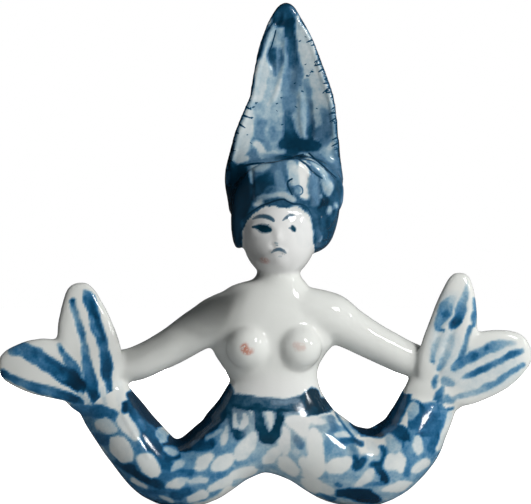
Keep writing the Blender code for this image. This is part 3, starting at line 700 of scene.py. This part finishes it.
tool("hair", "front", 0.55,
    ((136, 980, 16), (138, 930, 17), (144, 906, 12)), ((176, 966, 18), (190, 946, 19)),
    ((172, 906, 12), (166, 884, 10)), ((188, 886, 12), (187, 878, 11)), ((210, 886, 10), (208, 878, 9)),
    ((166, 854, 10), (168, 826, 9)), ((192, 854, 10), (188, 830, 8)), ((164, 804, 9), (162, 784, 7)),
    ((184, 810, 8), (180, 796, 7)),
)
tool("hair", "front", -0.45,
    ((122, 1056, 9), (170, 1014, 9), (212, 978, 8)), ((94, 1038, 8), (136, 998, 8), (158, 976, 8)),
    ((158, 970, 8), (158, 920, 8), (164, 898, 7)), ((-40, 996, 9), (-38, 950, 9), (-39, 910, 8)),
    ((74, 966, 7), (69, 950, 7), (78, 926, 7)),
)
brush("hair", "front", 0.8,
    # the dark mass at the left of the face
    ((-96, 1010, 16, 96), (-102, 960, 30, 99), (-100, 910, 30, 100), (-92, 850, 24, 100),
     (-88, 800, 16, 100), (-76, 776, 8, 97)),
    ((-70, 1006, 14, 100), (-64, 960, 24, 100), (-64, 910, 26, 100), (-72, 866, 19, 100)),
    # a lighter spot at its far left edge: painted sheen
    ((-114, 990, 8, 84), (-114, 966, 7, 82)),
    # the band over the forehead
    ((-34, 1005, 11, 34), (-12, 1005, 13, 30), (14, 1008, 9, 40)), ((-39, 988, 6, 42), (-39, 962, 5, 46)),
    ((-26, 934, 17, 93), (-8, 958, 22, 97), (18, 976, 18, 90), (32, 998, 14, 74), (50, 1016, 11, 70)),
    ((14, 934, 16, 86), (34, 942, 12, 66)), ((42, 982, 14, 58), (48, 946, 14, 58)),
    ((76, 1014, 15, 26), (84, 996, 16, 20), (86, 966, 16, 24)),
    # a white streak down its right side: painted highlight
    ((110, 1014, 14, 2), (116, 970, 17, 2), (120, 926, 15, 5)),
    ((-18, 912, 9, 46), (24, 922, 8, 30), (57, 924, 9, 26), (82, 912, 9, 20)),
    ((-26, 896, 8, 22), (-12, 903, 8, 22)), ((98, 942, 8, 50), (100, 932, 8, 46)),
    # folds and curls at the right
    ((142, 970, 14, 66), (145, 934, 17, 64), (149, 904, 13, 70)),
    ((126, 1042, 8, 24), (146, 1020, 11, 26), (164, 1002, 12, 26), (180, 982, 10, 30)),
    ((178, 966, 15, 34), (187, 948, 17, 28), (192, 932, 9, 34)),
    ((210, 970, 7, 86), (220, 948, 13, 93), (212, 918, 13, 90), (194, 912, 9, 88)),
    ((176, 922, 7, 93), (180, 908, 12, 100), (168, 884, 10, 100)),
    ((182, 866, 24, 93), (180, 830, 29, 92), (172, 800, 20, 90), (160, 780, 11, 84)),
    ((122, 897, 7, 84), (143, 868, 7, 86), (155, 838, 7, 88), (159, 800, 7, 84), (157, 776, 6, 80)),
    ((166, 921, 3, 10), (169, 919, 3, 10)), ((193, 882, 8, 26), (191, 876, 8, 30)),
    ((212, 896, 7, 34), (211, 890, 6, 36)), ((169, 796, 3.5, 34), (164, 786, 3.5, 36)),
)
brush(("hair", "head"), "front", 0.5,
    # bare forehead at the right
    ((86, 874, 18, 3), (104, 854, 26, 3), (114, 826, 28, 3), (118, 790, 24, 3)),
)
draw(("hair", "head"),
    # the hairline, then the small curl on the band
    ((-66, 846, 2.5, 97), (-56, 862, 2.8, 97), (-44, 871, 3, 98), (-24, 885, 3, 98), (-6, 894, 3.2, 98),
     (14, 901, 3.5, 98), (34, 908, 3.8, 98), (54, 911, 3.8, 98), (68, 904, 3.5, 98), (85, 897, 3.2, 97),
     (103, 897, 3.2, 95), (124, 888, 3, 93), (139, 864, 2.5, 90)),
    ((80, 971, 2.5, 95), (68, 964, 3.5, 97), (67, 951, 3.8, 97), (74, 937, 3.2, 95), (80, 925, 3, 92)),
    ((86, 946, 1.8, 70), (98, 952, 2, 75), (110, 944, 2.2, 80), (111, 930, 2, 75), (102, 923, 1.8, 70)),
)

# One skin
# The seams between the rolls are rubbed out with a wet finger until the clay is one skin. A slight
# unevenness is left all over. The two low bends are ground flat where she stands.
VOXEL = 0.59 * MM
SMOOTHING_PASSES = 15
HAND_UNEVENNESS = ((0.16, 9.0), (0.05, 3.4))


def placed(name, data):
    """A new object in the scene that shows this mesh, lamp or camera."""
    made = bpy.data.objects.new(name, data)
    bpy.context.scene.collection.objects.link(made)
    return made


bmesh.ops.recalc_face_normals(clay, faces=clay.faces)
rolled_mesh = bpy.data.meshes.new("rolled_clay")
clay.to_mesh(rolled_mesh)
rolled = placed("rolled_clay", rolled_mesh)
skin = rolled.modifiers.new("one_skin", "REMESH")
skin.mode = "VOXEL"
skin.voxel_size = VOXEL
rubbed = rolled.modifiers.new("rubbed_seams", "SMOOTH")
rubbed.factor = 0.5
rubbed.iterations = SMOOTHING_PASSES
bpy.context.view_layer.update()
mesh = bpy.data.meshes.new_from_object(rolled.evaluated_get(bpy.context.evaluated_depsgraph_get()))
mesh.name = "mermaid_figurine"
bpy.data.objects.remove(rolled)


def numbers(values, name, width):
    """A mesh's own numbers as rows, such as its points or its normals."""
    flat = np.empty(len(values) * width, np.float32)
    values.foreach_get(name, flat)
    return flat.reshape(-1, width).astype(float)


points = numbers(mesh.vertices, "co", 3) / MM
normals = numbers(mesh.vertex_normals, "vector", 3)

# which piece of clay each point of the skin came from
last_faces = [count for _, count in clay_pieces]
nearest_clay = BVHTree.FromBMesh(clay)
piece_of_point = np.array(
    [
        clay_pieces[np.searchsorted(last_faces, nearest_clay.find_nearest(vert.co)[2], side="right")][0]
        for vert in mesh.vertices
    ]
)
clay.free()

# the whole figure moves so that she stands in the frame's box
low, high = points.min(axis=0), points.max(axis=0)
box_low, box_high = np.array(cad_low) / MM, np.array(cad_high) / MM
shift = (box_low + box_high) / 2 - (low + high) / 2
shift[2] = box_high[2] - high[2]
points += shift
FRONT_TURN = (0.15, 0.5)
STROKE_UNITS = (0.1, 0.1, 0.1, 0.01)


def smooth_step(low_edge, high_edge, value):
    t = np.clip((value - low_edge) / (high_edge - low_edge), 0.0, 1.0)
    return t * t * (3.0 - 2.0 * t)


facing_back = smooth_step(*FRONT_TURN, normals[:, 1])
SIDES = {"front": 1.0 - facing_back, "back": facing_back, "round": np.ones(len(points))}


def under_stroke(pieces, rows, x, z, margin, fineness=4):
    """The points near a stroke on these pieces, and for each of them how far outside the stroke it is.

    Then the half width and the ink of the stroke there, and the point's offset from its middle.
    """
    rows = np.array([(*row, 0)[:4] for row in rows]) * STROKE_UNITS
    reach = rows[:, 2].max() + margin
    inside = np.isin(piece_of_point, pieces)
    for axis, column in ((0, 0), (2, 1)):
        inside &= points[:, axis] > rows[:, column].min() - reach
        inside &= points[:, axis] < rows[:, column].max() + reach
    at = np.flatnonzero(inside)
    x, z = x[at], z[at]
    count = (len(rows) - 1) * fineness
    curve = [eased(rows, k / count) for k in range(count + 1)]
    near = np.full(len(at), 1e9)
    found = np.zeros((4, len(at)))
    for start, end in zip(curve, curve[1:]):
        dx, dz = end[:2] - start[:2]
        t = np.clip(((x - start[0]) * dx + (z - start[1]) * dz) / (dx * dx + dz * dz + 1e-12), 0.0, 1.0)
        off_x, off_z = x - start[0] - t * dx, z - start[1] - t * dz
        half, ink_here = (start[k] + t * (end[k] - start[k]) for k in (2, 3))
        distance = np.hypot(off_x, off_z)
        closer = distance - half < near
        near[closer] = (distance - half)[closer]
        found[:, closer] = np.array((half, ink_here, off_x, off_z))[:, closer]
    return at, near, *found


# tool marks, each with a rounded profile
raised = np.zeros(len(points))
for pieces, side, height, strokes in tooling:
    for rows in strokes:
        at, near, half, *_ = under_stroke(pieces, rows, points[:, 0], points[:, 2], 0.5)
        profile = smooth_step(0.0, 1.0, -near / half.clip(0.1))
        raised[at] += height * profile * SIDES[side][at]
for height, size in HAND_UNEVENNESS:
    raised += height * np.array([noise.noise(Vector(p) / size) for p in points])
points += normals * raised[:, None]
excess = np.maximum((points.max(axis=0) - points.min(axis=0)) / (box_high - box_low), 1.0)
middle = (box_low + box_high) / 2
points[:, :2] = middle[:2] + (points[:, :2] - middle[:2]) / excess[:2]
points[:, 2] = points[:, 2] - max(0.0, points[:, 2].max() - box_high[2])

# Cobalt
# The painter's strokes are laid on the biscuit one over another, a little wobbly at the edges. Fine
# lines are kept apart as offsets from their middle, so that they stay sharp between points.
WOBBLE = 0.5
WOBBLE_SIZE = 3.2
FINE_WOBBLE = 0.22
FINE_WOBBLE_SIZE = 1.1
LINE_REACH = 2.0
WOBBLE_SEED = 7
# without a seed these noise vectors start from the clock, and the strokes differ from run to run
noise.seed_set(WOBBLE_SEED)
wobble = np.array([noise.noise_vector(Vector(p) / WOBBLE_SIZE) for p in points]) * WOBBLE
wobble += np.array([noise.noise_vector(Vector(p) / FINE_WOBBLE_SIZE) for p in points]) * FINE_WOBBLE
brush_x, brush_z = points[:, 0] + wobble[:, 0], points[:, 2] + wobble[:, 2]

ink = np.zeros(len(points))
for pieces, side, softness, strokes in brushwork:
    for rows in strokes:
        at, near, _, stroke_ink, *_ = under_stroke(pieces, rows, brush_x, brush_z, softness + WOBBLE)
        cover = smooth_step(softness / 2, -softness / 2, near) * SIDES[side][at]
        ink[at] += (stroke_ink - ink[at]) * cover

# the dark edge of the hood, where the brush ran along the rim
hair = piece_of_point == "hair"
edge_on = smooth_step(0.72, 0.40, np.abs(normals[:, 1])) * smooth_step(98.0, 104.0, points[:, 2]) * hair
ink += (1.0 - ink) * edge_on

red = np.zeros(len(points))
for rows in RED_DABS:
    at, near, _, stroke_ink, *_ = under_stroke(("trunk", "head"), rows, brush_x, brush_z, 1.0)
    cover = smooth_step(0.5, -0.6, near) * stroke_ink * SIDES["front"][at]
    red[at] = np.maximum(red[at], cover)

# the cobalt of the waistband, the hood and most of all the face is greyer
off_waist = np.hypot(points[:, 0] - WAIST.x / MM, (points[:, 2] - 28.0) * 1.6)
dull = np.maximum(smooth_step(22.0, 12.0, off_waist), 0.5 * hair + 1.5 * (piece_of_point == "head"))

for side, rim in zip((LEFT, RIGHT), HOOD_RIMS):
    rim = np.array(rim)
    count, first = NICKS[side]
    for k in range(count):
        x, z = eased(rim, first + (1 - first) * k / count)
        length = NICK_LENGTH * (0.55 + 0.45 * math.sin(5.1 * k + side))
        tilt = 0.55 + 0.35 * math.sin(3.3 * k)
        start = (x, z, NICK_HALF_WIDTH * 1.5, 97)
        end = (x - side * (RIM_HALF_WIDTH + length), z - length * tilt, NICK_HALF_WIDTH * 0.5, 90)
        draw("hair", (start, end))
for k, (x, z) in enumerate(HOOD_PITS):
    size = 2.2 + 1.2 * math.sin(2.3 * k)
    draw("hair", ((x, z, size, 93), (x + 5, z - 3 * math.sin(4.1 * k), size * 0.6, 85)))

line_offset = np.zeros((len(points), 3))
line_offset[:, 2] = LINE_REACH
line_ink = np.zeros(len(points))
for pieces, strokes in fine_lines:
    for rows in strokes:
        at, near, half, stroke_ink, off_x, off_z = under_stroke(
            pieces, rows, points[:, 0], points[:, 2], LINE_REACH
        )
        near = np.where(SIDES["front"][at] > 0.5, near, LINE_REACH)
        closer = near < line_offset[at, 2]
        line_offset[at[closer]] = np.stack((off_x / half, off_z / half, near), axis=1)[closer]
        line_ink[at[closer]] = stroke_ink[closer]

mesh.vertices.foreach_set("co", (points * MM).astype(np.float32).ravel())
for name, kind, field, values in (
    ("ink", "FLOAT", "value", ink), ("red", "FLOAT", "value", red), ("line_ink", "FLOAT", "value", line_ink),
    ("line", "FLOAT_VECTOR", "vector", line_offset), ("dull", "FLOAT", "value", dull),
):
    mesh.attributes.new(name, kind, "POINT").data.foreach_set(field, values.astype(np.float32).ravel())

# ground off where she stands
standing = bmesh.new()
standing.from_mesh(mesh)
bmesh.ops.bisect_plane(
    standing, geom=standing.verts[:] + standing.edges[:] + standing.faces[:], plane_co=(0, 0, 0),
    plane_no=(0, 0, -1), clear_outer=True, dist=1e-7,
)
bmesh.ops.holes_fill(standing, edges=[edge for edge in standing.edges if edge.is_boundary], sides=0)
bmesh.ops.triangulate(standing, faces=[face for face in standing.faces if len(face.verts) > 4])
bmesh.ops.recalc_face_normals(standing, faces=standing.faces)
standing.to_mesh(mesh)
standing.free()
mesh.shade_smooth()
figurine = placed("mermaid_figurine", mesh)

# Glaze
# A clear glossy glaze over greyish white porcelain. The cobalt under it runs from a pale wash to
# near black, gathers in specks, and leaves the darkest strokes slightly rough.
SPECK_SIZE = 0.6
LINE_GRAIN = (0.7, 0.3)
BLOTCHES = (3.0, 1.1)
GRAIN = (0.8, 0.45)
RIPPLES = ((1.6, 0.35), (0.5, 0.12))
IRON_RED = (0.47, 0.19, 0.13, 1.0)
COBALT = (
    (0.00, (0.66, 0.675, 0.645)), (0.06, (0.60, 0.63, 0.62)), (0.16, (0.45, 0.52, 0.55)),
    (0.30, (0.26, 0.375, 0.47)), (0.47, (0.115, 0.235, 0.37)), (0.66, (0.036, 0.13, 0.28)),
    (0.83, (0.0095, 0.074, 0.185)), (0.94, (0.0035, 0.033, 0.084)), (1.00, (0.002, 0.016, 0.040)),
)


def new_material(name):
    """A material, its node tree and its shader."""
    made = bpy.data.materials.new(name)
    made.use_nodes = True
    return made, made.node_tree, made.node_tree.nodes["Principled BSDF"]


def set_inputs(node, inputs):
    """Links or sets a node's inputs, given by name or number, in the tree that is being wired."""
    for name, value in inputs.items():
        if isinstance(value, bpy.types.NodeSocket):
            tree.links.new(value, node.inputs[name])
        else:
            node.inputs[name].default_value = value


def wired(kind, inputs, **settings):
    """A new node in the tree that is being wired."""
    made = tree.nodes.new(kind)
    for name, value in settings.items():
        setattr(made, name, value)
    set_inputs(made, inputs)
    return made


def worked_out(operation, a, b=0.0, c=0.0, clamp=False):
    made = wired("ShaderNodeMath", {0: a, 1: b, 2: c}, operation=operation, use_clamp=clamp)
    return made.outputs[0]


def measured(value, from_low, from_high, to_low=0.0, to_high=1.0):
    """A value carried smoothly from one range to another."""
    inputs = {"Value": value, 1: from_low, 2: from_high, 3: to_low, 4: to_high}
    return wired("ShaderNodeMapRange", inputs, interpolation_type="SMOOTHSTEP").outputs[0]


def mixed(share, first, second, **settings):
    """One colour carried to another by a share."""
    return wired("ShaderNodeMix", {0: share, 6: first, 7: second}, data_type="RGBA", **settings).outputs[2]


def coloured(value, stops):
    """The colour that belongs to a value, between the colours at each stop."""
    made = wired("ShaderNodeValToRGB", {0: value})
    elements = made.color_ramp.elements
    for k, (stop, colour) in enumerate(stops):
        element = elements[k] if k < 2 else elements.new(stop)
        element.position = stop
        element.color = (*colour, 1.0)
    return made.outputs[0]


def grey(value):
    return (value, value, value, 1.0)


def cloud(size, detail=2.0):
    """Noise with blotches of about this size in millimetres."""
    inputs = {"Vector": place, "Scale": 1.0 / (size * MM), "Detail": detail}
    return wired("ShaderNodeTexNoise", inputs).outputs["Fac"]


def uneven(size, strength, detail=2.0):
    """Noise that swings about zero, by this strength at most."""
    return worked_out("MULTIPLY_ADD", cloud(size, detail), 2 * strength, -strength)


def painted(name, output="Fac"):
    return wired("ShaderNodeAttribute", {}, attribute_name=name).outputs[output]


glaze, tree, glaze_shader = new_material("glazed_porcelain")
place = wired("ShaderNodeTexCoord", {}).outputs["Object"]
brushed = painted("ink")
line_x, line_z, line_distance = wired("ShaderNodeSeparateXYZ", {0: painted("line", "Vector")}).outputs
squared = [worked_out("MULTIPLY", part, part) for part in (line_x, line_z)]
across = worked_out("ADD", worked_out("SQRT", worked_out("ADD", *squared)), uneven(*LINE_GRAIN))
on_line = worked_out("MULTIPLY", measured(across, 1.45, 0.6), measured(line_distance, 0.45, 0.22))
lined = worked_out("MULTIPLY", on_line, painted("line_ink"))

# the wash breaks up most at middling strength
half_strength = worked_out("MULTIPLY", brushed, worked_out("SUBTRACT", 1.0, brushed))
broken = worked_out("ADD", uneven(*BLOTCHES, detail=3.0), uneven(*GRAIN))
washed = worked_out("ADD", brushed, worked_out("MULTIPLY", half_strength, broken))
depth_of_ink = worked_out("MAXIMUM", washed, lined, clamp=True)

dulled = worked_out("MULTIPLY", painted("dull"), measured(depth_of_ink, 0.75, 0.97, 1.0, 0.0))
greyer = worked_out("MULTIPLY_ADD", dulled, -0.38, 1.0)
greener = worked_out("MULTIPLY_ADD", painted("dull"), -0.012, 0.49)
blue = {"Hue": greener, "Saturation": greyer, "Color": coloured(depth_of_ink, COBALT)}
cobalt = wired("ShaderNodeHueSaturation", blue).outputs[0]
speckled = worked_out("MULTIPLY", painted("red"), measured(cloud(SPECK_SIZE, 1.0), 0.2, 0.5), clamp=True)
ripple = worked_out("ADD", *(worked_out("MULTIPLY", cloud(size), height) for size, height in RIPPLES))
bump = wired("ShaderNodeBump", {"Strength": 0.25, "Distance": 0.25 * MM, "Height": ripple})
set_inputs(glaze_shader, {
    "Base Color": mixed(speckled, cobalt, IRON_RED),
    "Roughness": measured(depth_of_ink, 0.3, 1.0, 0.07, 0.14),
    "IOR": 1.5,
    "Normal": bump.outputs[0],
})
mesh.materials.clear()
mesh.materials.append(glaze)

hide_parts("figurine")
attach(figurine, "root")

# Table top
# A plain white floor. The camera sees it as paper white, apart from her soft shadow.
def as_mesh(name, shape):
    made = bpy.data.meshes.new(name)
    shape.to_mesh(made)
    shape.free()
    return made


table = bmesh.new()
bmesh.ops.create_grid(table, x_segments=1, y_segments=1, size=3.0)
table_top = placed("table_top", as_mesh("table_top", table))
paper, tree, paper_shader = new_material("white_paper")
seen_by = wired("ShaderNodeLightPath", {}).outputs
set_inputs(paper_shader, {
    "Roughness": 0.9,
    "Specular IOR Level": 0.0,
    "Emission Color": grey(1.0),
    "Emission Strength": worked_out("MULTIPLY", seen_by["Is Camera Ray"], 0.92),
    "Base Color": mixed(seen_by["Is Glossy Ray"], grey(0.8), grey(0.10)),
})
table_top.data.materials.append(paper)

# Light
# One window with four panes at the upper right in front, a narrow one further round, and a dark room.
# Two more lamps fill her from the front and one lights her back; the glaze mirrors none of the three.
ROOM = (
    (0.0, (0.02, 0.025, 0.03)), (0.5, (0.035, 0.04, 0.045)), (0.62, (0.10, 0.10, 0.10)),
    (0.8, (0.36, 0.36, 0.355)), (1.0, (0.60, 0.60, 0.59)),
)
MIRRORED = 0.3
AIM = Vector((0.0, 0.0, 0.07))
WINDOW = Vector((0.53, -0.63, 0.57))
PANE = (0.07, 0.10)

world = bpy.data.worlds.new("studio")
bpy.context.scene.world = world
world.use_nodes = True
tree = world.node_tree
direction = wired("ShaderNodeTexCoord", {}).outputs["Generated"]
sideways = wired("ShaderNodeSeparateXYZ", {0: direction}).outputs[0]
to_side = wired("ShaderNodeMapRange", {"Value": sideways, "From Min": -1.0}).outputs[0]
seen_by = wired("ShaderNodeLightPath", {}).outputs
# the glaze mirrors the room darker than it lights her, so that her outline stays dark
mirrored = mixed(seen_by["Is Glossy Ray"], coloured(to_side, ROOM), grey(MIRRORED), blend_type="MULTIPLY")
room = mixed(seen_by["Is Camera Ray"], mirrored, grey(1.0))
set_inputs(tree.nodes["Background"], {"Color": room})


def lamp(name, offset, size, watts, mirrored=True):
    """A rectangular lamp at this offset from the middle of the figure, and aimed at it."""
    data = bpy.data.lights.new(name, "AREA")
    data.shape = "RECTANGLE"
    data.size, data.size_y = size
    data.energy = watts
    light = placed(name, data)
    light.location = AIM + Vector(offset)
    light.rotation_euler = (AIM - light.location).to_track_quat("-Z", "Y").to_euler()
    light.visible_glossy = mirrored


across_window = Vector((0.63, 0.53, 0.0)).normalized()
up_window = WINDOW.cross(across_window).normalized()
lamp("day_light", (0.62, -0.72, 0.22), (0.15, 0.15), 3.2, mirrored=False)
lamp("low_light", (0.45, -0.75, -0.05), (0.10, 0.10), 1.1, mirrored=False)
for column in (-0.04, 0.04):
    for row in (-0.055, 0.055):
        lamp("pane", WINDOW + across_window * column + up_window * row, PANE, 1.0)
lamp("back_light", (-0.15, 1.0, 0.10), (0.3, 0.3), 7.0, mirrored=False)
lamp("side_window", (0.85, -0.40, 0.38), (0.06, 0.14), 1.2)

# a small black flag keeps the light off her left shoulder; the camera and the glaze don't see it
SHADED = (
    (-5, 69), (-9.5, 59), (-12.3, 53.5), (-14.2, 48), (-19, 47), (-23.5, 50), (-25, 53), (-32, 49.5),
    (-38, 46.5), (-44, 46), (-44, 50), (-36, 55), (-28, 61), (-18, 68),
)
FLAG_AWAY = Vector((0.60, -0.68, 0.40)) * 0.014
card = bmesh.new()
card.faces.new([card.verts.new(Vector((x, -6.5, z)) * MM + FLAG_AWAY) for x, z in SHADED])
flag = placed("flag", as_mesh("flag", card))
flag.visible_camera = flag.visible_glossy = False
black, tree, black_shader = new_material("black_card")
set_inputs(black_shader, {"Base Color": grey(0.01)})
flag.data.materials.append(black)

# Camera
# Straight on and level, with a long lens, so that a pixel of the 531 by 504 picture is 0.3 mm.
PIXEL = 0.3 * MM
LENS = 200.0
SENSOR = 36.0
PICTURE_WIDTH = 531
camera = placed("camera", bpy.data.cameras.new("camera"))
camera.data.lens = LENS
camera.data.sensor_width = SENSOR
away = PICTURE_WIDTH * PIXEL * LENS / SENSOR
camera.location = (0.15 * MM, -away, 75.5 * MM)
camera.rotation_euler = (math.radians(90), 0.0, 0.0)
camera.data.clip_start, camera.data.clip_end = 0.01, 20.0
bpy.context.scene.camera = camera
bpy.context.scene.view_settings.view_transform = "Standard"
